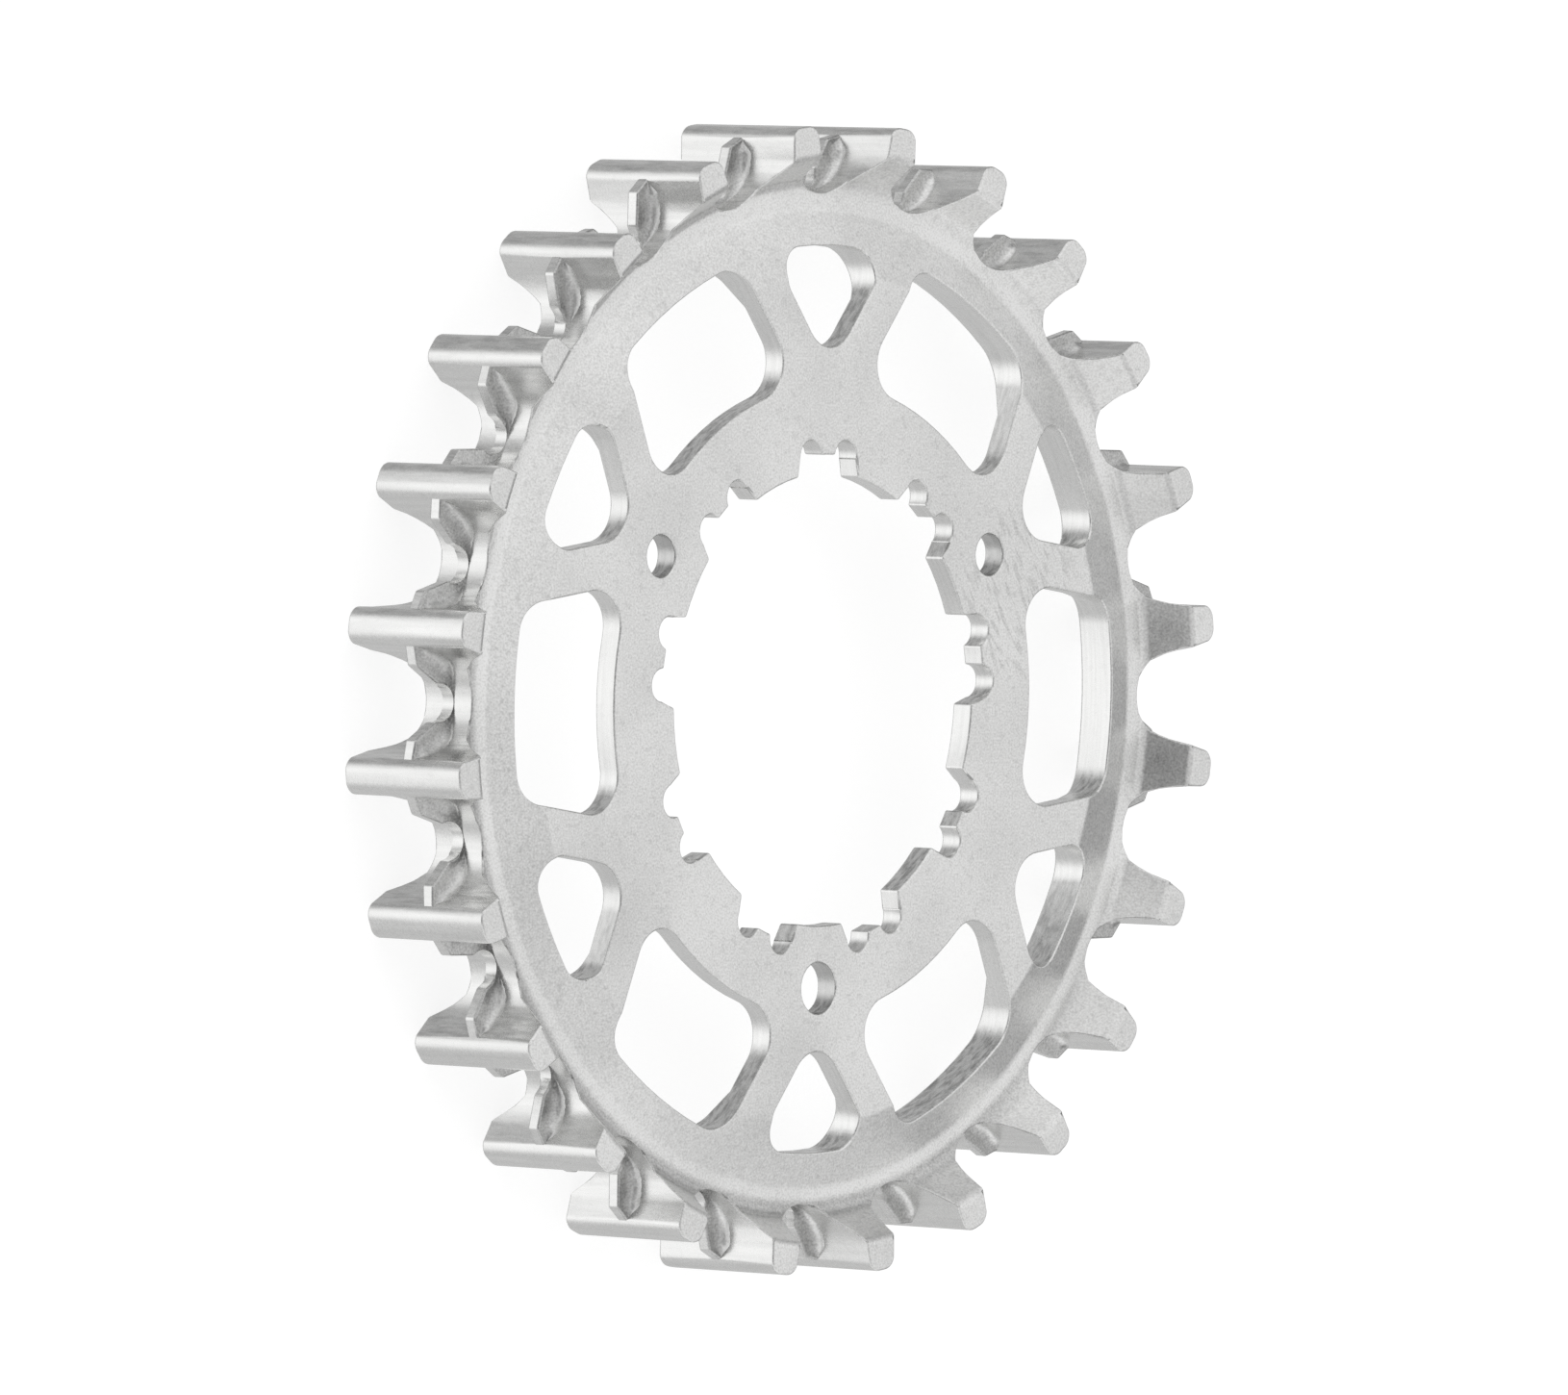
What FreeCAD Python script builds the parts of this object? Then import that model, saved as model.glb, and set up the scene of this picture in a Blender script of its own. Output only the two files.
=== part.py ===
import FreeCAD, Part
import math
import os

# A toothed-belt rear sprocket milled from one aluminium blank.
# It lies back down on z = 0, the axis is +Z, the dished front looks up.
# All lengths are millimetres.

# belt and teeth
BELT_PITCH = 11.0
TOOTH_COUNT = 24
TIP_INSIDE_PITCH_CIRCLE = 0.77
TOOTH_HEIGHT = 5.05
TOOTH_WIDTH = 10.9
TOOTH_FLAT_LENGTH = 2.35
TOOTH_FOOT_EASE = 0.55
TIP_LAND_HALF = 0.85
TIP_BEVEL_HEIGHT = 0.6
GAP_ROUND = 3.75
FLANK_ANGLE = 14.6

# centre fin, which stands in every tooth space
FIN_THICKNESS = 1.0
FIN_FLOOR_RISE = 0.05
FIN_FLOOR_ROUND = 1.35
FIN_NECK_HEIGHT = 1.8
FIN_SHOULDER_BELOW_TIP = 1.15
FIN_SHOULDER_HALF = 2.6

# rim: a shallow valley between the web and the teeth, front and back
RIM_THICKNESS = 4.5
VALLEY_OUTSIDE_ROOT = 0.75
FRONT_VALLEY_WIDTH = 1.95
FRONT_DISH_WIDTH = 4.55
BACK_VALLEY_WIDTH = 1.45
BACK_STEP_WIDTH = 1.9
BACK_DISH_WIDTH = 4.7
BACK_DISH_DROP = 2.2

# web
WEB_THICKNESS = 1.8
WEB_FRONT_SET_BACK = 1.95

# windows between the arms
WINDOW_COUNT = 6
WINDOW_TO_VALLEY = 2.53
WINDOW_HALF_ANGLE = 15.28
ARM_TILT = 7.8
ARM_WIDTH = 3.25
WINDOW_OUTER_ROUND_SHARE = 0.25
WINDOW_INNER_ROUND_SHARE = 0.265
DROP_OUTER_ROUND_SHARE = 0.2
DROP_INNER_ROUND_SHARE = 0.265

# splined bore
SPLINE_COUNT = 9
SPLINE_FIRST_ANGLE = 30.0
LAND_RADIUS = 16.19
LAND_HALF_ANGLE = 8.4
GROOVE_DEPTH = 1.32
RELIEF_INSIDE_GROOVE = 0.07
RELIEF_ANGLE = 6.16
RELIEF_RADIUS = 1.17

# hub ring round the bore, with three pin holes
HUB_RING_WIDTH = 5.12
PIN_CIRCLE_OUTSIDE_GROOVE = 3.13
PIN_HOLES = {30: 3.0, 150: 3.0, 270: 3.7}

TIP_RADIUS = BELT_PITCH * TOOTH_COUNT / (2 * math.pi) - TIP_INSIDE_PITCH_CIRCLE
ROOT_RADIUS = TIP_RADIUS - TOOTH_HEIGHT
FRONT_VALLEY_RADIUS = ROOT_RADIUS + VALLEY_OUTSIDE_ROOT - FRONT_VALLEY_WIDTH
BACK_VALLEY_RADIUS = ROOT_RADIUS + VALLEY_OUTSIDE_ROOT - BACK_VALLEY_WIDTH
GROOVE_RADIUS = LAND_RADIUS + GROOVE_DEPTH
WINDOW_INNER_RADIUS = GROOVE_RADIUS + HUB_RING_WIDTH
WINDOW_OUTER_RADIUS = FRONT_VALLEY_RADIUS - WINDOW_TO_VALLEY
WINDOW_DEPTH = WINDOW_OUTER_RADIUS - WINDOW_INNER_RADIUS
MID_Z = TOOTH_WIDTH / 2
WEB_FRONT_Z = TOOTH_WIDTH - WEB_FRONT_SET_BACK
WEB_BACK_Z = WEB_FRONT_Z - WEB_THICKNESS
CLEAR = 2.0


def point(radius, degrees, z=0.0):
    a = math.radians(degrees)
    return FreeCAD.Vector(radius * math.cos(a), radius * math.sin(a), z)


def mirrored(p):
    return FreeCAD.Vector(p.x, -p.y, p.z)


def arc(a, b, c):
    return Part.Arc(a, b, c).toShape()


def line(a, b):
    return Part.makeLine(a, b)


def prism(edges, bottom, top):
    # closed outline drawn at z = 0, extruded from bottom to top
    face = Part.Face(Part.Wire(Part.sortEdges(edges)[0]))
    face.translate(FreeCAD.Vector(0, 0, bottom))
    return face.extrude(FreeCAD.Vector(0, 0, top - bottom))


def rounded(solid, share, corners):
    # rounds the upright edges that stand at these corners by a share of the window's depth
    edges = []
    for edge in solid.Edges:
        a, b = edge.Vertexes[0].Point, edge.Vertexes[-1].Point
        if math.hypot(a.x - b.x, a.y - b.y) > 1e-6:
            continue
        if any(math.hypot(a.x - c.x, a.y - c.y) < 1e-4 for c in corners):
            edges.append(edge)
    return solid.makeFillet(share * WINDOW_DEPTH, edges)


def turned(shape, degrees):
    copy = shape.copy()
    copy.rotate(FreeCAD.Vector(0, 0, 0), FreeCAD.Vector(0, 0, 1), degrees)
    return copy


def eased(before, corner, after):
    # a flat across the hollow corner where the teeth grow out of the rim
    out = []
    for end in (before, after):
        share = TOOTH_FOOT_EASE / math.hypot(end[0] - corner[0], end[1] - corner[1])
        out.append((corner[0] + share * (end[0] - corner[0]), corner[1] + share * (end[1] - corner[1])))
    return out


def blank():
    # the turned shape: thin web set near the front, thick rim, flared tooth ring
    front_valley_z = MID_Z + RIM_THICKNESS / 2
    back_valley_z = MID_Z - RIM_THICKNESS / 2
    tooth_foot = ROOT_RADIUS + VALLEY_OUTSIDE_ROOT
    tooth_flat = TIP_RADIUS - TOOTH_FLAT_LENGTH
    back_step = BACK_VALLEY_RADIUS - BACK_STEP_WIDTH
    back_valley = (BACK_VALLEY_RADIUS, back_valley_z)
    front_valley = (FRONT_VALLEY_RADIUS, front_valley_z)
    back_flat = (tooth_flat, 0)
    front_flat = (tooth_flat, TOOTH_WIDTH)
    corners = [
        (0, WEB_FRONT_Z),
        (0, WEB_BACK_Z),
        (back_step - BACK_DISH_WIDTH, WEB_BACK_Z),
        (back_step, WEB_BACK_Z - BACK_DISH_DROP),
        back_valley,
        *eased(back_valley, (tooth_foot, back_valley_z), back_flat),
        back_flat,
        (TIP_RADIUS, 0),
        (TIP_RADIUS, TOOTH_WIDTH),
        front_flat,
        *eased(front_flat, (tooth_foot, front_valley_z), front_valley),
        front_valley,
        (FRONT_VALLEY_RADIUS - FRONT_DISH_WIDTH, WEB_FRONT_Z),
    ]
    points = [FreeCAD.Vector(r, 0, z) for r, z in corners]
    section = Part.Face(Part.makePolygon(points + points[:1]))
    return section.revolve(FreeCAD.Vector(0, 0, 0), FreeCAD.Vector(0, 0, 1), 360)


def side_line():
    # one side of a window: a point on it and its direction, the arm runs beyond it
    t = math.radians(ARM_TILT)
    middle = (WINDOW_OUTER_RADIUS + WINDOW_INNER_RADIUS) / 2
    start = FreeCAD.Vector(middle, middle * math.tan(math.radians(WINDOW_HALF_ANGLE)), 0)
    return start, FreeCAD.Vector(math.cos(t), -math.sin(t), 0)


def on_circle(start, direction, radius):
    # where a line going outward crosses a circle round the axis
    along = start.dot(direction)
    return start + direction * (-along + math.sqrt(along ** 2 - start.dot(start) + radius ** 2))


def window():
    start, direction = side_line()
    outer = on_circle(start, direction, WINDOW_OUTER_RADIUS)
    inner = on_circle(start, direction, WINDOW_INNER_RADIUS)
    edges = [
        arc(mirrored(outer), point(WINDOW_OUTER_RADIUS, 0), outer),
        line(outer, inner),
        arc(inner, point(WINDOW_INNER_RADIUS, 0), mirrored(inner)),
        line(mirrored(inner), mirrored(outer)),
    ]
    solid = prism(edges, -CLEAR, TOOTH_WIDTH + CLEAR)
    solid = rounded(solid, WINDOW_OUTER_ROUND_SHARE, [outer, mirrored(outer)])
    return rounded(solid, WINDOW_INNER_ROUND_SHARE, [inner, mirrored(inner)])


def drop_window():
    # the other side of the same arm, seen from the half-step between two windows
    half_step = 180.0 / WINDOW_COUNT
    start, direction = side_line()
    t = math.radians(ARM_TILT)
    start = start + FreeCAD.Vector(math.sin(t), math.cos(t), 0) * ARM_WIDTH
    turn = FreeCAD.Rotation(FreeCAD.Vector(0, 0, 1), -half_step)
    start = mirrored(turn.multVec(start))
    direction = mirrored(turn.multVec(direction))
    apex = start - direction * (start.y / direction.y)
    outer = on_circle(start, direction, WINDOW_OUTER_RADIUS)
    edges = [
        line(apex, outer),
        arc(outer, point(WINDOW_OUTER_RADIUS, 0), mirrored(outer)),
        line(mirrored(outer), apex),
    ]
    solid = prism(edges, -CLEAR, TOOTH_WIDTH + CLEAR)
    solid = rounded(solid, DROP_OUTER_ROUND_SHARE, [outer, mirrored(outer)])
    return rounded(solid, DROP_INNER_ROUND_SHARE, [apex])


def spline_bore():
    # a round hole to the lands plus nine grooves with relieved corners
    low, high = WEB_BACK_Z - CLEAR, WEB_FRONT_Z + CLEAR
    height = high - low
    step = 360.0 / SPLINE_COUNT
    corner = step / 2 - LAND_HALF_ANGLE
    relief_centre = GROOVE_RADIUS - RELIEF_INSIDE_GROOVE
    relief_edge = RELIEF_ANGLE + math.degrees(math.asin(RELIEF_RADIUS / relief_centre))
    edges = [
        line(point(LAND_RADIUS / 2, -corner), point(LAND_RADIUS, -corner)),
        line(point(LAND_RADIUS, -corner), point(relief_centre, -relief_edge)),
        line(point(relief_centre, -relief_edge), point(GROOVE_RADIUS, -RELIEF_ANGLE)),
        arc(point(GROOVE_RADIUS, -RELIEF_ANGLE), point(GROOVE_RADIUS, 0), point(GROOVE_RADIUS, RELIEF_ANGLE)),
        line(point(GROOVE_RADIUS, RELIEF_ANGLE), point(relief_centre, relief_edge)),
        line(point(relief_centre, relief_edge), point(LAND_RADIUS, corner)),
        line(point(LAND_RADIUS, corner), point(LAND_RADIUS / 2, corner)),
        line(point(LAND_RADIUS / 2, corner), point(LAND_RADIUS / 2, -corner)),
    ]
    groove = prism(edges, low, high)
    reliefs = [
        Part.makeCylinder(RELIEF_RADIUS, height, point(relief_centre, side * RELIEF_ANGLE, low))
        for side in (-1, 1)
    ]
    groove = groove.multiFuse(reliefs)
    hole = Part.makeCylinder(LAND_RADIUS, height, FreeCAD.Vector(0, 0, low))
    first = SPLINE_FIRST_ANGLE + step / 2
    return hole.multiFuse([turned(groove, first + step * k) for k in range(SPLINE_COUNT)]).removeSplitter()


def pin_holes():
    low = WEB_BACK_Z - CLEAR
    height = WEB_THICKNESS + 2 * CLEAR
    circle = GROOVE_RADIUS + PIN_CIRCLE_OUTSIDE_GROOVE
    return [
        Part.makeCylinder(diameter / 2, height, point(circle, angle, low))
        for angle, diameter in PIN_HOLES.items()
    ]


def tooth_side():
    # one side of a tooth space along +X: end of the round, flank, bevel, and on past the tip
    t = math.radians(FLANK_ANGLE)
    along = FreeCAD.Vector(math.cos(t), math.sin(t), 0)
    into_tooth = FreeCAD.Vector(-math.sin(t), math.cos(t), 0)
    centre = FreeCAD.Vector(ROOT_RADIUS + GAP_ROUND, 0, 0)
    flank_start = centre + into_tooth * GAP_ROUND
    flank_end = on_circle(flank_start, along, TIP_RADIUS - TIP_BEVEL_HEIGHT)
    half_pitch = 180.0 / TOOTH_COUNT
    land_start = point(TIP_RADIUS, half_pitch - math.degrees(TIP_LAND_HALF / TIP_RADIUS))
    beyond = land_start * ((TIP_RADIUS + CLEAR) / TIP_RADIUS)
    return [flank_start, flank_end, land_start, beyond]


def space(start, floor, side, low, high):
    # a space between two teeth: a round floor, then the same straight lines up both sides
    edges = [arc(start, floor, mirrored(start))]
    for half in (side, [mirrored(p) for p in side]):
        edges += [line(a, b) for a, b in zip(half, half[1:])]
    edges += [line(mirrored(side[-1]), side[-1])]
    return prism(edges, low, high)


def side_gap(low, high):
    # the wide space on one side of the fin
    side = tooth_side()
    return space(side[0], FreeCAD.Vector(ROOT_RADIUS, 0, 0), side, low, high)


def fin_gap(low, high):
    # the narrower notch that leaves the fin standing between two teeth
    floor = FreeCAD.Vector(ROOT_RADIUS + FIN_FLOOR_RISE, 0, 0)
    neck_start = floor + FreeCAD.Vector(FIN_FLOOR_ROUND, FIN_FLOOR_ROUND, 0)
    neck_end = FreeCAD.Vector(ROOT_RADIUS + FIN_NECK_HEIGHT, FIN_FLOOR_ROUND, 0)
    shoulder = FreeCAD.Vector(TIP_RADIUS - FIN_SHOULDER_BELOW_TIP, FIN_SHOULDER_HALF, 0)
    return space(neck_start, floor, [neck_start, neck_end, shoulder] + tooth_side()[1:], low, high)


def sprocket():
    body = blank()
    arms = 360.0 / WINDOW_COUNT
    cutters = [turned(window(), arms * k) for k in range(WINDOW_COUNT)]
    cutters += [turned(drop_window(), arms * (k + 0.5)) for k in range(WINDOW_COUNT)]
    cutters += [spline_bore()]
    cutters += pin_holes()
    body = body.cut(cutters)
    fin_front = MID_Z + FIN_THICKNESS / 2
    fin_back = MID_Z - FIN_THICKNESS / 2
    front = side_gap(fin_front, TOOTH_WIDTH + CLEAR)
    back = side_gap(-CLEAR, fin_back)
    notch = fin_gap(fin_back, fin_front)
    pitch = 360.0 / TOOTH_COUNT
    gap = front.multiFuse([back, notch]).removeSplitter()
    return body.cut([turned(gap, pitch * k) for k in range(TOOTH_COUNT)])


def main():
    os.makedirs("parts", exist_ok=True)
    part = sprocket()
    part.exportStep("parts/sprocket.step")


main()
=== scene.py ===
import math

import bmesh
import bpy
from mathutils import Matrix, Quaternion, Vector


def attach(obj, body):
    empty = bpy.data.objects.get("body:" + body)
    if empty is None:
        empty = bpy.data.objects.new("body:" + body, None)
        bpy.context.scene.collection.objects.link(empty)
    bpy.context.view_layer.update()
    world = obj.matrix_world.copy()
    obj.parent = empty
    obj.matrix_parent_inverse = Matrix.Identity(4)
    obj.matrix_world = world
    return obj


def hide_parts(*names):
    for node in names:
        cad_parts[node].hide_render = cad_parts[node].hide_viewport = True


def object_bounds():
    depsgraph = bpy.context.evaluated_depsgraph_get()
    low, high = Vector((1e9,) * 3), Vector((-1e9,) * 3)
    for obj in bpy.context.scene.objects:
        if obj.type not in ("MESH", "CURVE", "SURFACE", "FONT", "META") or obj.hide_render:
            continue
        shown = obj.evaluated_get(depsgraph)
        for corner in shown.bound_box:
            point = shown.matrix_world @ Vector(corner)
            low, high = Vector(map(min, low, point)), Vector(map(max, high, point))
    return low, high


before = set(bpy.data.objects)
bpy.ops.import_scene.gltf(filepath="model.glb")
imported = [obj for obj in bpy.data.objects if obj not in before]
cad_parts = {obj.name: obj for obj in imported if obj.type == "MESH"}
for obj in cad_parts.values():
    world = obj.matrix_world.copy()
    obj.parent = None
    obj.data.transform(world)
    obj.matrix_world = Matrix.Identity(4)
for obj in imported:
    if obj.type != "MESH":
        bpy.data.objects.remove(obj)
cad_low, cad_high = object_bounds()
scene = bpy.context.scene
MM = 0.001

# Sprocket: a ring turned and milled from one plate of aluminium, then tumbled with ceramic chips.
# The tumbling leaves every edge a little round. The tips of the teeth are milled to a fuller round, and
# the turning tool's nose leaves soft rounds where the cones of the rim meet.
EDGE_ROUND = 0.16 * MM
CREST_ROUND = 0.42 * MM
VALLEY_ROUND = 0.25 * MM
ROUND_STEPS = 3
SMOOTH_BELOW = math.radians(12)
MERGE_WITHIN = 0.0005 * MM
FLAT_WITHIN = math.radians(0.6)
SLACK = 0.1 * MM
LEAST_LEVEL = 0.3
TOOTH_COUNT = 24
PITCH = 2 * math.pi / TOOTH_COUNT
ROOT_RADIUS = 36.2 * MM
WINDOWS_WITHIN = 33.0 * MM
FOOT_START, FOOT_END = 36.4 * MM, 37.24 * MM
FOOT_TURN = math.radians(58.6)
FOOT_TURN_SLACK = 0.04
FOOT_ALIGNED = 0.998
FIN_THICKNESS = 1.0 * MM
FIN_FLOOR_HALF = 1.15 * MM
FIN_REACH = 0.6 * FIN_THICKNESS
FLANK_ANGLE = math.radians(14.6)
TIP_RADIUS = 41.25 * MM
TIP_BEVEL = 0.7 * MM
TIP_TOP_ABOVE = TIP_RADIUS - 0.1 * TIP_BEVEL
TIP_FOOT_BELOW = TIP_RADIUS - 0.3 * TIP_BEVEL
TIP_LEAST_OUTWARD, TIP_MOST_OUTWARD = 0.3, 0.95
TIP_ROUND = 1.1 * MM
TIP_STEPS = 6
MID_Z = (cad_low[2] + cad_high[2]) / 2
TOOTH_LONG = 0.9 * (cad_high[2] - cad_low[2])


def from_axis(point):
    return math.hypot(point.x, point.y)


def is_level(edge):
    return abs(edge.verts[0].co.z - edge.verts[1].co.z) < MERGE_WITHIN


def is_tip_bevel(face):
    # the flat bevel along one side of a tooth's tip
    heights = [vert.co.z for vert in face.verts]
    middle = face.calc_center_median()
    outward = abs(face.normal.x * middle.x + face.normal.y * middle.y) / from_axis(middle)
    at_tip = all(from_axis(vert.co) > TIP_RADIUS - TIP_BEVEL for vert in face.verts)
    full_length = max(heights) - min(heights) > TOOTH_LONG
    return at_tip and full_length and TIP_LEAST_OUTWARD < outward < TIP_MOST_OUTWARD


def is_land_line(edge):
    # a line that the solid's facets draw along the land of a tooth, between its two bevels
    start, end = (vert.co for vert in edge.verts)
    at_top = min(from_axis(start), from_axis(end)) > TIP_TOP_ABOVE
    return at_top and abs(start.z - end.z) > TOOTH_LONG and edge.calc_face_angle(math.pi) < SMOOTH_BELOW


def round_tip(face):
    # turns the bevel into a round that runs from the top of the tooth into its flank
    middle = face.calc_center_median()
    along = PITCH * (math.floor(math.atan2(middle.y, middle.x) / PITCH) + 0.5)
    axis = Vector((math.cos(along), math.sin(along), 0))
    aside = Vector((-math.sin(along), math.cos(along), 0))
    if middle.dot(aside) < 0:
        aside = -aside
    slant = FLANK_ANGLE + PITCH / 2
    low_verts = [vert for vert in face.verts if from_axis(vert.co) < TIP_FOOT_BELOW]
    high_verts = [vert for vert in face.verts if vert not in low_verts]
    foot = low_verts[0].co
    centre_up = TIP_RADIUS - TIP_ROUND
    over = foot.dot(axis) - centre_up
    centre_aside = foot.dot(aside) - (TIP_ROUND - over * math.sin(slant)) / math.cos(slant)

    def place(vert, turn):
        up = centre_up + TIP_ROUND * math.cos(turn)
        out = centre_aside + TIP_ROUND * math.sin(turn)
        flat = axis * up + aside * out
        vert.co = Vector((flat.x, flat.y, vert.co.z))

    rails = []
    for edge in [edge for edge in face.edges if is_level(edge)]:
        top = edge.verts[0] if edge.verts[0] in high_verts else edge.verts[1]
        rail = []
        for k in range(1, TIP_STEPS):
            edge, vert = bmesh.utils.edge_split(edge, top, 1 / (TIP_STEPS - k + 1))
            edge = next(other for other in vert.link_edges
                        if other is not edge and top not in other.verts and is_level(other))
            rail.append(vert)
            top = vert
        rails.append(rail)
    full = math.pi / 2 - slant
    for vert in high_verts:
        place(vert, 0.0)
    for vert in low_verts:
        place(vert, full)
    for k, pair in enumerate(zip(*rails)):
        for vert in pair:
            place(vert, full * (k + 1) / TIP_STEPS)
        shared = next(part for part in pair[0].link_faces if part in pair[1].link_faces)
        bmesh.utils.face_split(shared, *pair)


def at_fin_floor(edge):
    # the edges of the low step where a fin runs out into the floor of its tooth space
    for vert in edge.verts:
        angle = math.atan2(vert.co.y, vert.co.x)
        aside = from_axis(vert.co) * math.sin(angle - round(angle / PITCH) * PITCH)
        if from_axis(vert.co) < ROOT_RADIUS - SLACK or abs(aside) > FIN_FLOOR_HALF:
            return False
        if abs(vert.co.z - MID_Z) > FIN_REACH:
            return False
    return True


def round_of(edge):
    # how far from this edge its round starts, or 0 where the edge has none
    start = edge.verts[0].co
    if edge.calc_face_angle(0) < SMOOTH_BELOW or at_fin_floor(edge):
        return 0.0
    on_cones = all(abs(face.normal.z) > LEAST_LEVEL for face in edge.link_faces)
    if on_cones and from_axis(start) > WINDOWS_WITHIN:
        if edge.is_convex:
            return CREST_ROUND
        return VALLEY_ROUND if from_axis(start) < ROOT_RADIUS else 0.0
    return EDGE_ROUND if edge.is_convex else 0.0


def soft_foot(point, normal):
    # at the foot of a tooth the flat between valley and cone shades as the hollow round it stands for
    radius = from_axis(point)
    if not FOOT_START - SLACK < radius < FOOT_END + SLACK:
        return normal
    inward = -(normal.x * point.x + normal.y * point.y) / radius
    off_turn = abs(math.atan2(inward, abs(normal.z)) - FOOT_TURN / 2)
    if off_turn > FOOT_TURN_SLACK or inward ** 2 + normal.z ** 2 < FOOT_ALIGNED:
        return normal
    share = min(max((radius - FOOT_START) / (FOOT_END - FOOT_START), 0.0), 1.0)
    turn = share * FOOT_TURN
    level = -math.sin(turn) / radius
    return Vector((level * point.x, level * point.y, math.copysign(math.cos(turn), normal.z)))


shape = bmesh.new()
shape.from_mesh(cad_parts["sprocket"].data)
bmesh.ops.remove_doubles(shape, verts=shape.verts, dist=MERGE_WITHIN)
bmesh.ops.dissolve_limit(shape, angle_limit=FLAT_WITHIN, verts=shape.verts, edges=shape.edges)
land_lines = [edge for edge in shape.edges if is_land_line(edge)]
bmesh.ops.dissolve_edges(shape, edges=land_lines, use_verts=True)
for bevel in [face for face in shape.faces if is_tip_bevel(face)]:
    round_tip(bevel)
shape.normal_update()
weight = shape.edges.layers.float.new("bevel_weight_edge")
for face in shape.faces:
    face.smooth = True
for edge in shape.edges:
    edge[weight] = round_of(edge) / CREST_ROUND
    edge.smooth = edge.calc_face_angle(0) < SMOOTH_BELOW
rough_mesh = bpy.data.meshes.new("milled_sprocket")
shape.to_mesh(rough_mesh)
shape.free()
sprocket = bpy.data.objects.new("milled_sprocket", rough_mesh)
scene.collection.objects.link(sprocket)
rounding = sprocket.modifiers.new("tumbled_edges", "BEVEL")
rounding.width = CREST_ROUND
rounding.segments = ROUND_STEPS
rounding.limit_method = "WEIGHT"
rounding.use_clamp_overlap = False
rounding.harden_normals = True
rounding.miter_outer = "MITER_ARC"
milled = bpy.data.meshes.new_from_object(sprocket.evaluated_get(bpy.context.evaluated_depsgraph_get()))
sprocket.modifiers.clear()
sprocket.data = milled
corner_points = [milled.vertices[loop.vertex_index].co for loop in milled.loops]
corner_normals = [corner.vector for corner in milled.corner_normals]
milled.normals_split_custom_set([soft_foot(*corner) for corner in zip(corner_points, corner_normals)])


def linear(hex_colour):
    # an sRGB hex colour as the linear colour that a shader takes
    parts = [int(hex_colour[i:i + 2], 16) / 255 for i in (1, 3, 5)]
    return [c / 12.92 if c <= 0.04045 else ((c + 0.055) / 1.055) ** 2.4 for c in parts] + [1.0]


def add_node(tree, kind, settings=None, **links):
    # one node with its settings; a link is a socket or a plain value, for the input of that name
    # or, written as i0, i1 and so on, of that number; gives the first output that these settings use
    node = tree.nodes.new(kind)
    for name, value in (settings or {}).items():
        setattr(node, name, value)
    for name, value in links.items():
        socket = node.inputs[int(name[1:]) if name[1:].isdigit() else name.replace("_", " ")]
        if isinstance(value, bpy.types.NodeSocket):
            tree.links.new(value, socket)
        else:
            socket.default_value = value
    return next(output for output in node.outputs if output.enabled)


# Tumbled aluminium: a grey-white satin, with the fine dimples and soft clouds that tumbling leaves on the
# flats, and faint rings from turning. The milled walls are smoother and brighter. Lengths in this finish
# are in millimetres, and the dimples are 0.16 mm wide, coarser than the real 0.1 mm, to show.
ALUMINIUM = "#F2F2F1"
WALL_FROM, WALL_FULL = 0.45, 0.15
NOISE_SPAN = {"From_Min": 0.3, "From_Max": 0.7}
DIMPLE = 0.16
DIMPLE_SHADE = {"To_Min": 0.83, "To_Max": 1.15}
CHIP_DENT = 0.6
DARK_DENTS = {"From_Min": 0.57, "From_Max": 0.68, "To_Min": 1.0, "To_Max": 0.91}
CLOUD = 9.0
CLOUD_SHADE = {"From_Min": 0.35, "From_Max": 0.65, "To_Min": 0.94, "To_Max": 1.05}
TURNING_LINE = 0.2
CUTTER_LINE = 0.22
CUTTER_REACH = 7.0
CUTTER_SHADE = {"To_Min": -0.05, "To_Max": 0.04}
TOOTH_LINE = 0.4
ON_TEETH = {"From_Min": 34.5, "From_Max": 35.5}
WALL_GRAIN = 0.35

aluminium = bpy.data.materials.new("tumbled_aluminium")
aluminium.use_nodes = True
tree = aluminium.node_tree
shader = tree.nodes["Principled BSDF"]
shader.inputs["Metallic"].default_value = 1.0
on_piece = tree.nodes.new("ShaderNodeTexCoord").outputs["Object"]
in_mm = add_node(tree, "ShaderNodeVectorMath", {"operation": "SCALE"}, i0=on_piece, Scale=1 / MM)
height_in_mm = add_node(tree, "ShaderNodeSeparateXYZ", i0=in_mm).node.outputs["Z"]
level = add_node(tree, "ShaderNodeVectorMath", {"operation": "MULTIPLY"}, i0=in_mm, i1=(1, 1, 0))
radius = add_node(tree, "ShaderNodeVectorMath", {"operation": "LENGTH"}, i0=level)
normal = tree.nodes.new("ShaderNodeNewGeometry").outputs["True Normal"]
facing = add_node(tree, "ShaderNodeSeparateXYZ", i0=normal).node.outputs
levelness = add_node(tree, "ShaderNodeMath", {"operation": "ABSOLUTE"}, i0=facing["Z"])
is_wall = add_node(tree, "ShaderNodeMapRange", {"interpolation_type": "SMOOTHSTEP"}, Value=levelness,
                   From_Min=WALL_FROM, From_Max=WALL_FULL)
is_flat = add_node(tree, "ShaderNodeMath", {"operation": "SUBTRACT"}, i0=1.0, i1=is_wall)
on_teeth = add_node(tree, "ShaderNodeMapRange", Value=radius, **ON_TEETH)

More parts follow.
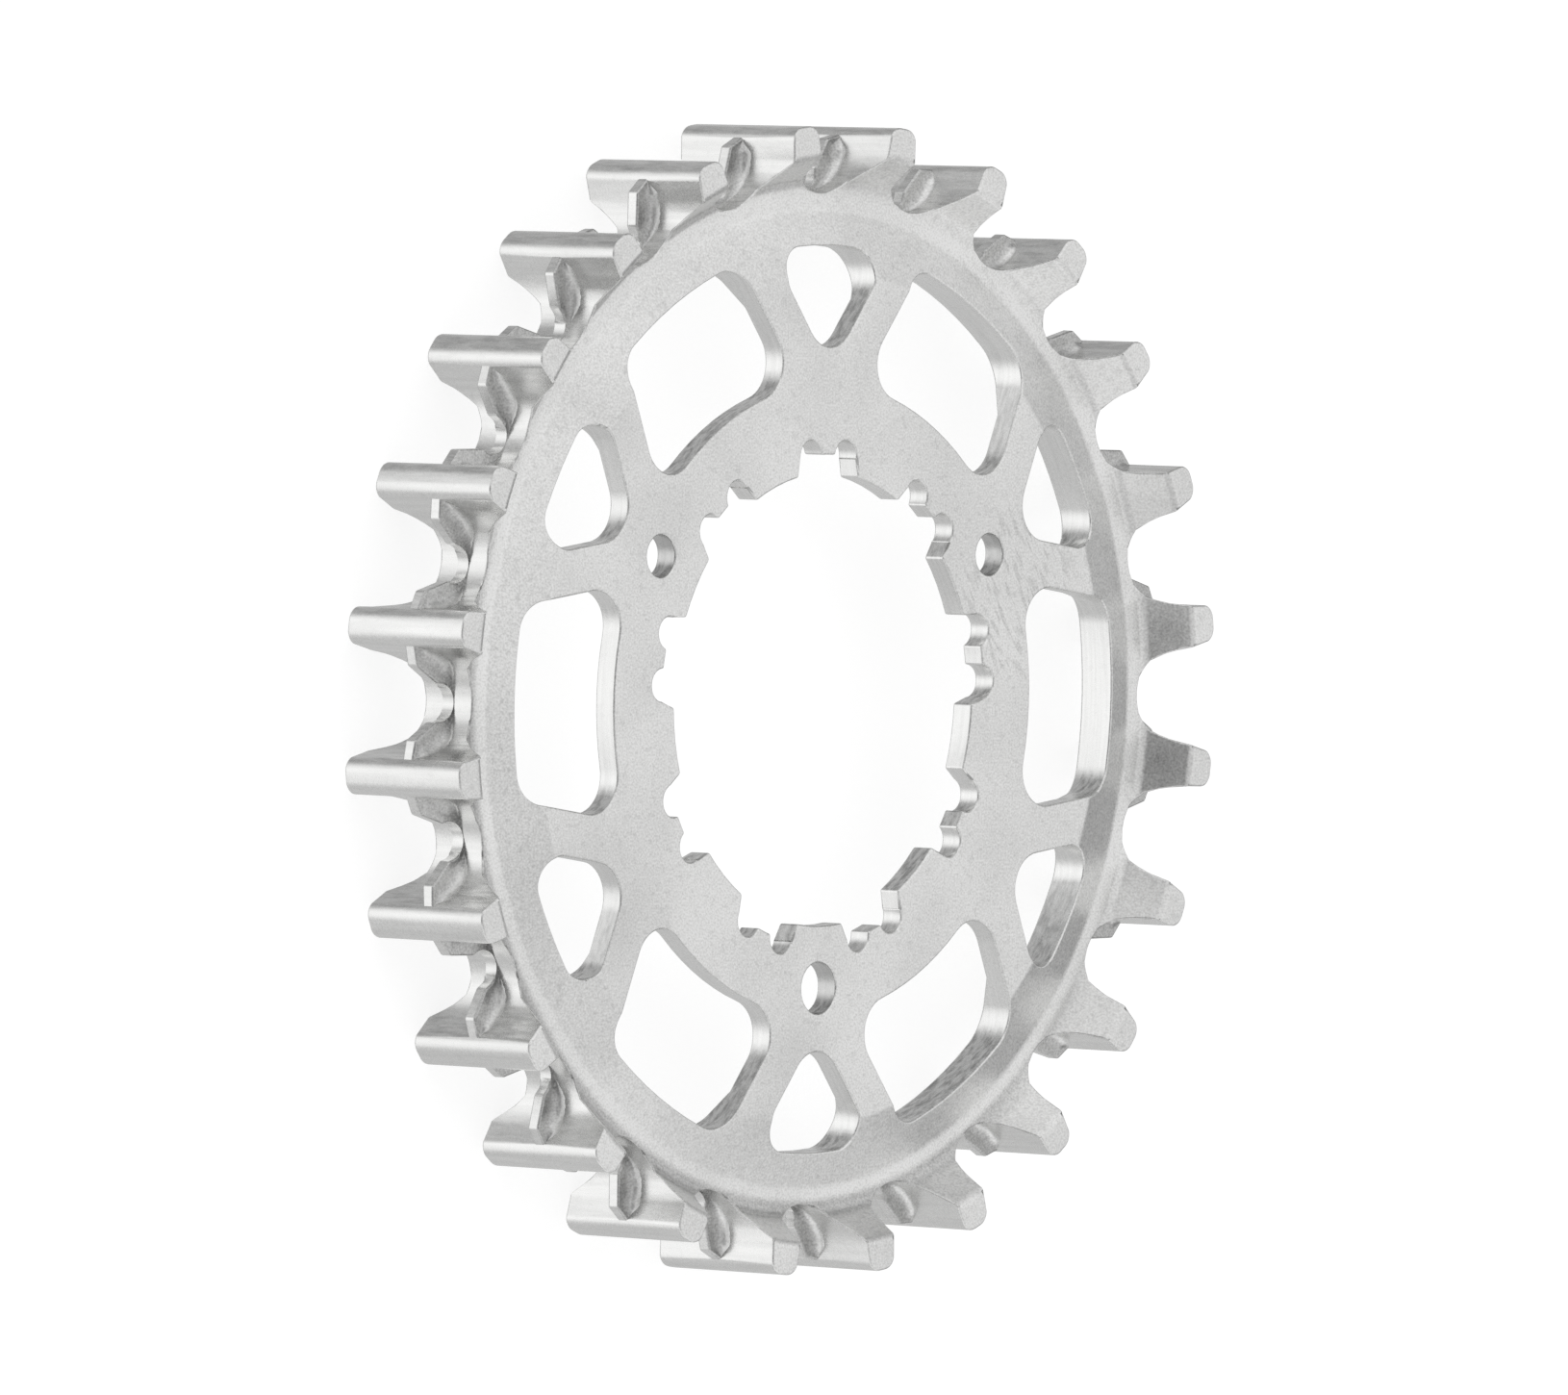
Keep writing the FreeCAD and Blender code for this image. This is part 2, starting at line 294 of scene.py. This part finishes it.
dimples = add_node(tree, "ShaderNodeTexNoise", Vector=in_mm, Scale=1 / DIMPLE, Detail=2.0)
dents = add_node(tree, "ShaderNodeTexNoise", Vector=in_mm, Scale=1 / CHIP_DENT, Detail=2.0)
clouds = add_node(tree, "ShaderNodeTexNoise", Vector=in_mm, Scale=1 / CLOUD, Detail=3.0)
ring = add_node(tree, "ShaderNodeCombineXYZ", X=radius)
turning = add_node(tree, "ShaderNodeTexNoise", Vector=ring, Scale=1 / TURNING_LINE, Detail=1.0)
# the cutter's lines run level round the windows and the bore, and along the length of the teeth
across = add_node(tree, "ShaderNodeMapRange", Value=on_teeth,
                  To_Min=1 / CUTTER_REACH, To_Max=1 / TOOTH_LINE)
upright = add_node(tree, "ShaderNodeMapRange", Value=on_teeth,
                   To_Min=1 / CUTTER_LINE, To_Max=1 / CUTTER_REACH)
drawn_out = add_node(tree, "ShaderNodeCombineXYZ", X=across, Y=across, Z=upright)
along = add_node(tree, "ShaderNodeVectorMath", {"operation": "MULTIPLY"}, i0=in_mm, i1=drawn_out)
cutter = add_node(tree, "ShaderNodeTexNoise", Vector=along, Scale=1.0, Detail=2.0)

shade = add_node(tree, "ShaderNodeMapRange", Value=dimples, **NOISE_SPAN, **DIMPLE_SHADE)
cloudy = add_node(tree, "ShaderNodeMapRange", Value=clouds, **CLOUD_SHADE)
shade = add_node(tree, "ShaderNodeMath", {"operation": "MULTIPLY"}, i0=shade, i1=cloudy)
dark_dents = add_node(tree, "ShaderNodeMapRange", Value=dents, **DARK_DENTS)
shade = add_node(tree, "ShaderNodeMath", {"operation": "MULTIPLY"}, i0=shade, i1=dark_dents)

# rows of short marks where one pass of the cutter ended, beside the right pin hole
PASS_MARK = (0.45, 2.2, 1.0)
PASS_TURN = math.radians(32)
PASS_PLACE, PASS_FULL, PASS_GONE = (21.0, 7.5, 8.95), 4.0, 8.0
PASS_SHADE = {"From_Min": 0.52, "From_Max": 0.62, "To_Min": 0.0, "To_Max": 0.17}
turned_in = add_node(tree, "ShaderNodeMapping", {"vector_type": "TEXTURE"}, Vector=in_mm,
                     Rotation=(0, 0, PASS_TURN), Scale=PASS_MARK)
marks = add_node(tree, "ShaderNodeTexNoise", Vector=turned_in, Scale=1.0, Detail=1.0)
marks = add_node(tree, "ShaderNodeMapRange", Value=marks, **PASS_SHADE)
away = add_node(tree, "ShaderNodeVectorMath", {"operation": "DISTANCE"}, i0=in_mm, i1=PASS_PLACE)
near = add_node(tree, "ShaderNodeMapRange", {"interpolation_type": "SMOOTHSTEP"}, Value=away,
                From_Min=PASS_GONE, From_Max=PASS_FULL)
marks = add_node(tree, "ShaderNodeMath", {"operation": "MULTIPLY"}, i0=marks, i1=near)
shade = add_node(tree, "ShaderNodeMath", {"operation": "SUBTRACT"}, i0=shade, i1=marks)

# darker patches with ragged edges, darkest at their place; the two on the right teeth are a painted dark
# reflection. The place, the reach and the darkest shade of each
DARK_PATCHES_AND_REFLECTION = {
    "lower_left": ((-21.0, -15.0, 8.9), 15.0, 0.93),
    "upper_left": ((-22.0, 22.0, 8.5), 6.0, 0.95),
    "top": ((-2.0, 30.0, 8.9), 5.0, 0.95),
    "bottom": ((-3.0, -29.0, 8.9), 9.0, 0.91),
    "right_rim": ((31.0, 6.0, 8.6), 4.5, 0.9),
    # these two on the right teeth are painted reflection: they darken the tooth faces as if mirroring a dark
    # region
    "upper_right_tooth": ((37.6, 5.0, 9.3), 2.2, 0.78),
    "lower_right_tooth": ((37.6, -5.0, 9.3), 2.2, 0.84),
}
RAGGED = 1.6
PATCH_FULL, PATCH_GONE = 0.6, 1.8
for spot, reach, darkest in DARK_PATCHES_AND_REFLECTION.values():
    away = add_node(tree, "ShaderNodeVectorMath", {"operation": "DISTANCE"}, i0=in_mm, i1=spot)
    ragged = add_node(tree, "ShaderNodeMath", {"operation": "MULTIPLY_ADD"},
                      i0=clouds, i1=RAGGED * reach, i2=away)
    dark_patch = add_node(tree, "ShaderNodeMapRange", {"interpolation_type": "SMOOTHSTEP"}, Value=ragged,
                      From_Min=PATCH_FULL * reach, From_Max=PATCH_GONE * reach, To_Min=darkest, To_Max=1.0)
    shade = add_node(tree, "ShaderNodeMath", {"operation": "MULTIPLY"}, i0=shade, i1=dark_patch)

# on the milled walls the grain of the tumbling is weaker, and the cutter's lines show instead
grain = add_node(tree, "ShaderNodeMapRange", Value=is_wall, To_Min=1.0, To_Max=WALL_GRAIN)
shade = add_node(tree, "ShaderNodeMix", Factor=grain, A=1.0, B=shade)
streaks = add_node(tree, "ShaderNodeMapRange", Value=cutter, **NOISE_SPAN, **CUTTER_SHADE)
shade = add_node(tree, "ShaderNodeMath", {"operation": "MULTIPLY_ADD"}, i0=streaks, i1=is_wall, i2=shade)

# painted shade on the walls that face +Y: ragged scuff-like darker streaks that darken that side of the
# walls, less so on the teeth
SHADE_STREAK_WIDTH, SHADE_STREAK_HEIGHT = 1.1, 0.4
TOOTH_SHADE_STREAK_WIDTH, TOOTH_SHADE_STREAK_HEIGHT = 0.4, 2.4
TOOTH_SHADE_STREAK_SHARE = 0.5
SHADE_STREAK_LEVELS = {"From_Min": 0.42, "From_Max": 0.66, "To_Min": 0.05, "To_Max": -0.46}
PAINTED_SHADE_FACING = {"From_Min": 0.2, "From_Max": 0.7}
across = add_node(tree, "ShaderNodeMapRange", Value=on_teeth,
                  To_Min=1 / SHADE_STREAK_WIDTH, To_Max=1 / TOOTH_SHADE_STREAK_WIDTH)
upright = add_node(tree, "ShaderNodeMapRange", Value=on_teeth,
                   To_Min=1 / SHADE_STREAK_HEIGHT, To_Max=1 / TOOTH_SHADE_STREAK_HEIGHT)
drawn_out = add_node(tree, "ShaderNodeCombineXYZ", X=across, Y=across, Z=upright)
shade_streaks_in = add_node(tree, "ShaderNodeVectorMath", {"operation": "MULTIPLY"}, i0=in_mm, i1=drawn_out)
painted_shade_streaks = add_node(tree, "ShaderNodeTexNoise", Vector=shade_streaks_in, Scale=1.0, Detail=3.0, Roughness=0.65)
painted_shade_streaks = add_node(tree, "ShaderNodeMapRange", Value=painted_shade_streaks, **SHADE_STREAK_LEVELS)
# only walls that face +Y get the streaks: painted shade on that side
shaded_side_faces_y = add_node(tree, "ShaderNodeMapRange", Value=facing["Y"], **PAINTED_SHADE_FACING)
painted_shade_streaks = add_node(tree, "ShaderNodeMath", {"operation": "MULTIPLY"}, i0=painted_shade_streaks, i1=shaded_side_faces_y)
shade_streak_share = add_node(tree, "ShaderNodeMapRange", Value=on_teeth, To_Min=1.0, To_Max=TOOTH_SHADE_STREAK_SHARE)
painted_shade_streaks = add_node(tree, "ShaderNodeMath", {"operation": "MULTIPLY"}, i0=painted_shade_streaks, i1=shade_streak_share)
shade = add_node(tree, "ShaderNodeMath", {"operation": "MULTIPLY_ADD"}, i0=painted_shade_streaks, i1=is_wall, i2=shade)

# painted shade inside the drilled pin holes: their walls are painted darker than the milled walls
PIN_CIRCLE = 20.64
PIN_ANGLES = (30, 150, 270)
PIN_HOLE_PAINTED_SHADE = {"From_Min": 2.4, "From_Max": 2.3, "To_Min": 0.0, "To_Max": -0.28}
for turn in [math.radians(degrees) for degrees in PIN_ANGLES]:
    hole = (PIN_CIRCLE * math.cos(turn), PIN_CIRCLE * math.sin(turn), 0)
    away = add_node(tree, "ShaderNodeVectorMath", {"operation": "DISTANCE"}, i0=level, i1=hole)
    pin_hole_shade = add_node(tree, "ShaderNodeMapRange", Value=away, **PIN_HOLE_PAINTED_SHADE)
    shade = add_node(tree, "ShaderNodeMath", {"operation": "MULTIPLY_ADD"}, i0=pin_hole_shade, i1=is_wall, i2=shade)

# painted shade: the sides of the fins, down in the tooth spaces, are painted darker than the other flats
PAINTED_SHADE_BESIDE_FIN = {"From_Min": 0.8, "From_Max": 0.6, "To_Min": 0.0, "To_Max": -0.3}
PAST_ROOT = {"From_Min": 35.9, "From_Max": 36.2}
from_middle = add_node(tree, "ShaderNodeMath", {"operation": "SUBTRACT"}, i0=height_in_mm, i1=MID_Z / MM)
from_middle = add_node(tree, "ShaderNodeMath", {"operation": "ABSOLUTE"}, i0=from_middle)
fin_side_shade = add_node(tree, "ShaderNodeMapRange", Value=from_middle, **PAINTED_SHADE_BESIDE_FIN)
fin_side_shade = add_node(tree, "ShaderNodeMath", {"operation": "MULTIPLY"}, i0=fin_side_shade, i1=is_flat)
past_root = add_node(tree, "ShaderNodeMapRange", Value=radius, **PAST_ROOT)
shade = add_node(tree, "ShaderNodeMath", {"operation": "MULTIPLY_ADD"}, i0=fin_side_shade, i1=past_root, i2=shade)

# painted highlight: the floor of the valleys is painted a little lighter, a light ring along the rim
PAST_DISH = {"From_Min": 34.8, "From_Max": 35.1, "To_Min": 0.0, "To_Max": 0.05}
BEFORE_FOOT = {"From_Min": 36.3, "From_Max": 35.9}
past_dish = add_node(tree, "ShaderNodeMapRange", Value=radius, **PAST_DISH)
before_foot = add_node(tree, "ShaderNodeMapRange", Value=radius, **BEFORE_FOOT)
painted_valley_highlight = add_node(tree, "ShaderNodeMath", {"operation": "MULTIPLY"}, i0=past_dish, i1=before_foot)
shade = add_node(tree, "ShaderNodeMath", {"operation": "MULTIPLY_ADD"}, i0=painted_valley_highlight, i1=is_flat, i2=shade)

# painted shade: a dark line lies along the hollow foot of the teeth on the lower left
FOOT_LINE_TURN = math.radians(240)
ON_LOWER_LEFT = {"From_Min": -7.26, "From_Max": 21.78, "To_Min": 0.0, "To_Max": -0.32}
INTO_FOOT_LINE = {"From_Min": 35.6, "From_Max": 36.3}
OUT_OF_FOOT_LINE = {"From_Min": 37.6, "From_Max": 36.6}
lower_left = (math.cos(FOOT_LINE_TURN), math.sin(FOOT_LINE_TURN), 0)
towards = add_node(tree, "ShaderNodeVectorMath", {"operation": "DOT_PRODUCT"}, i0=in_mm, i1=lower_left)
on_lower_left = add_node(tree, "ShaderNodeMapRange", Value=towards, **ON_LOWER_LEFT)
foot_in = add_node(tree, "ShaderNodeMapRange", {"interpolation_type": "SMOOTHSTEP"}, Value=radius,
                   **INTO_FOOT_LINE)
foot_out = add_node(tree, "ShaderNodeMapRange", {"interpolation_type": "SMOOTHSTEP"}, Value=radius,
                    **OUT_OF_FOOT_LINE)
painted_foot_shade = add_node(tree, "ShaderNodeMath", {"operation": "MULTIPLY"}, i0=foot_in, i1=foot_out)
painted_foot_shade = add_node(tree, "ShaderNodeMath", {"operation": "MULTIPLY"}, i0=painted_foot_shade, i1=is_flat)
shade = add_node(tree, "ShaderNodeMath", {"operation": "MULTIPLY_ADD"},
                 i0=painted_foot_shade, i1=on_lower_left, i2=shade)
colour = add_node(tree, "ShaderNodeVectorMath", {"operation": "SCALE"}, i0=linear(ALUMINIUM)[:3], Scale=shade)
tree.links.new(colour, shader.inputs["Base Color"])

# the sheen is softer and the relief deeper on the tumbled flats than on the milled walls
SATIN = {"To_Min": 0.34, "To_Max": 0.42}
WALL_POLISH = 0.13
DENT_DEPTH, RING_DEPTH, LINE_DEPTH = 1.4, 0.3, 0.35
FLAT_RELIEF, WALL_RELIEF = 0.34, 0.16
RELIEF_HEIGHT = 0.02 * MM
satin = add_node(tree, "ShaderNodeMapRange", Value=dimples, **NOISE_SPAN, **SATIN)
roughness = add_node(tree, "ShaderNodeMath", {"operation": "MULTIPLY_ADD"},
                     i0=is_wall, i1=-WALL_POLISH, i2=satin)
tree.links.new(roughness, shader.inputs["Roughness"])
relief = add_node(tree, "ShaderNodeMath", {"operation": "MULTIPLY_ADD"}, i0=dents, i1=DENT_DEPTH, i2=dimples)
rings = add_node(tree, "ShaderNodeMath", {"operation": "MULTIPLY"}, i0=turning, i1=is_flat)
relief = add_node(tree, "ShaderNodeMath", {"operation": "MULTIPLY_ADD"}, i0=rings, i1=RING_DEPTH, i2=relief)
lines = add_node(tree, "ShaderNodeMath", {"operation": "MULTIPLY"}, i0=cutter, i1=is_wall)
relief = add_node(tree, "ShaderNodeMath", {"operation": "MULTIPLY_ADD"}, i0=lines, i1=LINE_DEPTH, i2=relief)
relief_share = add_node(tree, "ShaderNodeMapRange", Value=is_wall, To_Min=FLAT_RELIEF, To_Max=WALL_RELIEF)
bump = add_node(tree, "ShaderNodeBump", Strength=relief_share, Distance=RELIEF_HEIGHT, Height=relief)
tree.links.new(bump, shader.inputs["Normal"])
milled.materials.clear()
milled.materials.append(aluminium)
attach(sprocket, "root")
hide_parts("sprocket")

# Pocket rounds: the hollow corner that the cutter's nose leaves where a fin meets the sides of its tooth
# space. Same aluminium, milled in one pass with the space. One wedge along a quarter of a space is
# mirrored to both sides of the fin, and turned to all the spaces.
GAP_ROUND = 3.75 * MM
FLANK_TOP = 1.4 * MM
POCKET_ROUND = 0.8 * MM
WEDGE_START = math.radians(12)
ARC_SHARE = 0.7
GROWING_SHARE, SHRINKING_SHARE = 0.4, 0.25
LEAST_SHARE = 0.02
STEPS_ALONG, STEPS_ROUND = 26, 6
SUNK = 0.02 * MM


def eased(value):
    value = min(max(value, 0.0), 1.0)
    return value * value * (3 - 2 * value)


def space_side(share):
    # a point on the side of the space along +X, the way into the space, and the round's size there
    middle = Vector((ROOT_RADIUS + GAP_ROUND, 0))
    if share < ARC_SHARE:
        angle = WEDGE_START + (math.pi / 2 - FLANK_ANGLE - WEDGE_START) * share / ARC_SHARE
        inward = Vector((math.cos(angle), -math.sin(angle)))
        point = middle - inward * GAP_ROUND
    else:
        inward = Vector((math.sin(FLANK_ANGLE), -math.cos(FLANK_ANGLE)))
        up_flank = Vector((math.cos(FLANK_ANGLE), math.sin(FLANK_ANGLE)))
        point = middle - inward * GAP_ROUND + up_flank * FLANK_TOP * (share - ARC_SHARE) / (1 - ARC_SHARE)
    fullness = eased(share / GROWING_SHARE) * eased((1 - share) / SHRINKING_SHARE)
    return point, inward, POCKET_ROUND * max(fullness, LEAST_SHARE)


wedge = bmesh.new()
rows = []
for i in range(STEPS_ALONG + 1):
    point, inward, size = space_side(i / STEPS_ALONG)
    behind = point - inward * SUNK
    row = [wedge.verts.new((behind.x, behind.y, FIN_THICKNESS / 2 - SUNK))]
    for j in range(STEPS_ROUND + 1):
        angle = math.pi / 2 * j / STEPS_ROUND
        at = point + inward * size * (1 - math.sin(angle))
        row.append(wedge.verts.new((at.x, at.y, FIN_THICKNESS / 2 + size * (1 - math.cos(angle)))))
    rows.append(row)
for low_row, high_row in zip(rows, rows[1:]):
    for j in range(len(low_row)):
        wedge.faces.new((low_row[j - 1], high_row[j - 1], high_row[j], low_row[j])).smooth = j > 1
wedge.faces.new(rows[0])
wedge.faces.new(rows[-1])
for edge in wedge.edges:
    edge.smooth = all(face.smooth for face in edge.link_faces)
for flip in (Vector((1, -1, 1)), Vector((1, 1, -1))):
    copied = bmesh.ops.duplicate(wedge, geom=wedge.verts[:] + wedge.edges[:] + wedge.faces[:])["geom"]
    for item in copied:
        if isinstance(item, bmesh.types.BMVert):
            item.co = item.co * flip
bmesh.ops.recalc_face_normals(wedge, faces=wedge.faces)
bmesh.ops.translate(wedge, verts=wedge.verts, vec=(0, 0, MID_Z))
wedge_mesh = bpy.data.meshes.new("pocket_wedge")
wedge.to_mesh(wedge_mesh)
wedge.free()

turned = bpy.data.node_groups.new("turned_round_the_axis", "GeometryNodeTree")
turned.interface.new_socket("Piece", in_out="INPUT", socket_type="NodeSocketGeometry")
turned.interface.new_socket("Copies", in_out="INPUT", socket_type="NodeSocketInt")
turned.interface.new_socket("Finish", in_out="INPUT", socket_type="NodeSocketMaterial")
turned.interface.new_socket("Ring", in_out="OUTPUT", socket_type="NodeSocketGeometry")
given = turned.nodes.new("NodeGroupInput").outputs
points = add_node(turned, "GeometryNodeMeshLine", Count=given["Copies"], Offset=(0, 0, 0))
number = add_node(turned, "GeometryNodeInputIndex")
step = add_node(turned, "ShaderNodeMath", {"operation": "DIVIDE"}, i0=2 * math.pi, i1=given["Copies"])
turned_by = add_node(turned, "ShaderNodeMath", {"operation": "MULTIPLY"}, i0=number, i1=step)
spin = add_node(turned, "ShaderNodeCombineXYZ", Z=turned_by)
copies = add_node(turned, "GeometryNodeInstanceOnPoints",
                  Points=points, Instance=given["Piece"], Rotation=spin)
joined = add_node(turned, "GeometryNodeRealizeInstances", Geometry=copies)
finished = add_node(turned, "GeometryNodeSetMaterial", Geometry=joined, Material=given["Finish"])
turned.links.new(finished, turned.nodes.new("NodeGroupOutput").inputs["Ring"])

pocket_rounds = bpy.data.objects.new("pocket_rounds", wedge_mesh)
scene.collection.objects.link(pocket_rounds)
pattern = pocket_rounds.modifiers.new("round_the_axis", "NODES")
pattern.node_group = turned
sockets = {item.name: item.identifier for item in turned.interface.items_tree}
pattern[sockets["Copies"]] = TOOTH_COUNT
pattern[sockets["Finish"]] = aluminium
made = bpy.data.meshes.new_from_object(pocket_rounds.evaluated_get(bpy.context.evaluated_depsgraph_get()))
pocket_rounds.modifiers.clear()
pocket_rounds.data = made
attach(pocket_rounds, "root")

# Floor: white paper. The camera sees it lit from behind, near white, with the soft shadow of the sprocket
# left on it. The metal doesn't mirror it, because it mirrors the tent round it instead.
FLOOR_HALF = 3.0
PAPER, PAPER_LIT_THROUGH = "#F4F4F4", "#B0B0B0"
LIT_THROUGH = 0.78
floor_mesh = bpy.data.meshes.new("studio_floor")
floor_corners = [(x * FLOOR_HALF, y * FLOOR_HALF, 0) for x, y in ((-1, -1), (1, -1), (1, 1), (-1, 1))]
floor_mesh.from_pydata(floor_corners, [], [(0, 1, 2, 3)])
floor = bpy.data.objects.new("studio_floor", floor_mesh)
scene.collection.objects.link(floor)
paper = bpy.data.materials.new("white_paper")
paper.use_nodes = True
sheet = paper.node_tree
sheet.nodes.remove(sheet.nodes["Principled BSDF"])
for_camera = add_node(sheet, "ShaderNodeLightPath")
white = add_node(sheet, "ShaderNodeBsdfDiffuse", Color=linear(PAPER))
grey = add_node(sheet, "ShaderNodeBsdfDiffuse", Color=linear(PAPER_LIT_THROUGH))
glow = add_node(sheet, "ShaderNodeEmission", Strength=LIT_THROUGH)
backlit = add_node(sheet, "ShaderNodeAddShader", i0=grey, i1=glow)
surface = add_node(sheet, "ShaderNodeMixShader", i0=for_camera, i1=white, i2=backlit)
sheet.links.new(surface, sheet.nodes["Material Output"].inputs["Surface"])
floor_mesh.materials.append(paper)
floor.visible_glossy = False

# Light: a white tent all round, open and dark behind the camera, and dimmer on the far side, low down and
# high up on one side. Its near wall is the brightest low down, where the milled walls mirror it. A panel
# has its azimuth, elevation, the radii where it is full and where it ends, in degrees, and its brightness.
TENT_WHITE = "#FFFFFF"
TENT_TOP, TENT_FLOOR = 0.85, 0.41
TENT_FLOOR_BELOW = -0.35
PANELS = {
    "near_wall_low": (190, -57, 16, 51, 1.13),
    "side_wall_low": (307, -69, 49, 60, 0.57),
    "opening_for_camera": (177, 34, 22, 34, 0.14),
    "far_side_mid": (342, 2, 15, 40, 0.26),
    "far_side_low": (45, -1, 6, 45, 0.28),
    "side_wall_high": (242, 66, 22, 48, 0.58),
}
tent = bpy.data.worlds.new("white_tent")
tent.use_nodes = True
sky = tent.node_tree
direction = sky.nodes.new("ShaderNodeTexCoord").outputs["Generated"]
height = add_node(sky, "ShaderNodeSeparateXYZ", i0=direction).node.outputs["Z"]
brightness = add_node(sky, "ShaderNodeMapRange", {"interpolation_type": "SMOOTHSTEP"}, Value=height,
                      From_Min=TENT_FLOOR_BELOW, From_Max=0.0, To_Min=TENT_FLOOR, To_Max=TENT_TOP)
for azimuth, elevation, full_within, ends_at, panel_brightness in PANELS.values():
    az, el = math.radians(azimuth), math.radians(elevation)
    centre = (math.cos(el) * math.cos(az), math.cos(el) * math.sin(az), math.sin(el))
    closeness = add_node(sky, "ShaderNodeVectorMath", {"operation": "DOT_PRODUCT"}, i0=direction, i1=centre)
    share = add_node(sky, "ShaderNodeMapRange", {"interpolation_type": "SMOOTHSTEP"}, Value=closeness,
                     From_Min=math.cos(math.radians(ends_at)), From_Max=math.cos(math.radians(full_within)))
    brightness = add_node(sky, "ShaderNodeMix", Factor=share, A=brightness, B=panel_brightness)
sky.links.new(brightness, sky.nodes["Background"].inputs["Strength"])
sky.nodes["Background"].inputs["Color"].default_value = linear(TENT_WHITE)
scene.world = tent

# Camera: a long lens 1.43 m away, 41 degrees above the floor, rolled so that +Y is up in the picture.
# Its place, turn and focal length were fitted to the bore, the windows and the teeth in the photograph.
CAMERA_PLACE = (-1.072036, 0.039964, 0.940733)
CAMERA_TURN = Quaternion((0.9102957, -0.0167769, -0.4136075, 0.0030096))
FOCAL_LENGTH, SENSOR_WIDTH = 456.375, 36.0
NEAREST, FARTHEST = 0.1, 10.0
camera_data = bpy.data.cameras.new("camera")
camera_data.sensor_width = SENSOR_WIDTH
camera_data.lens = FOCAL_LENGTH
camera_data.clip_start, camera_data.clip_end = NEAREST, FARTHEST
camera = bpy.data.objects.new("camera", camera_data)
scene.collection.objects.link(camera)
camera.location = CAMERA_PLACE
camera.rotation_mode = "QUATERNION"
camera.rotation_quaternion = CAMERA_TURN
scene.camera = camera
scene.view_settings.view_transform = "Standard"
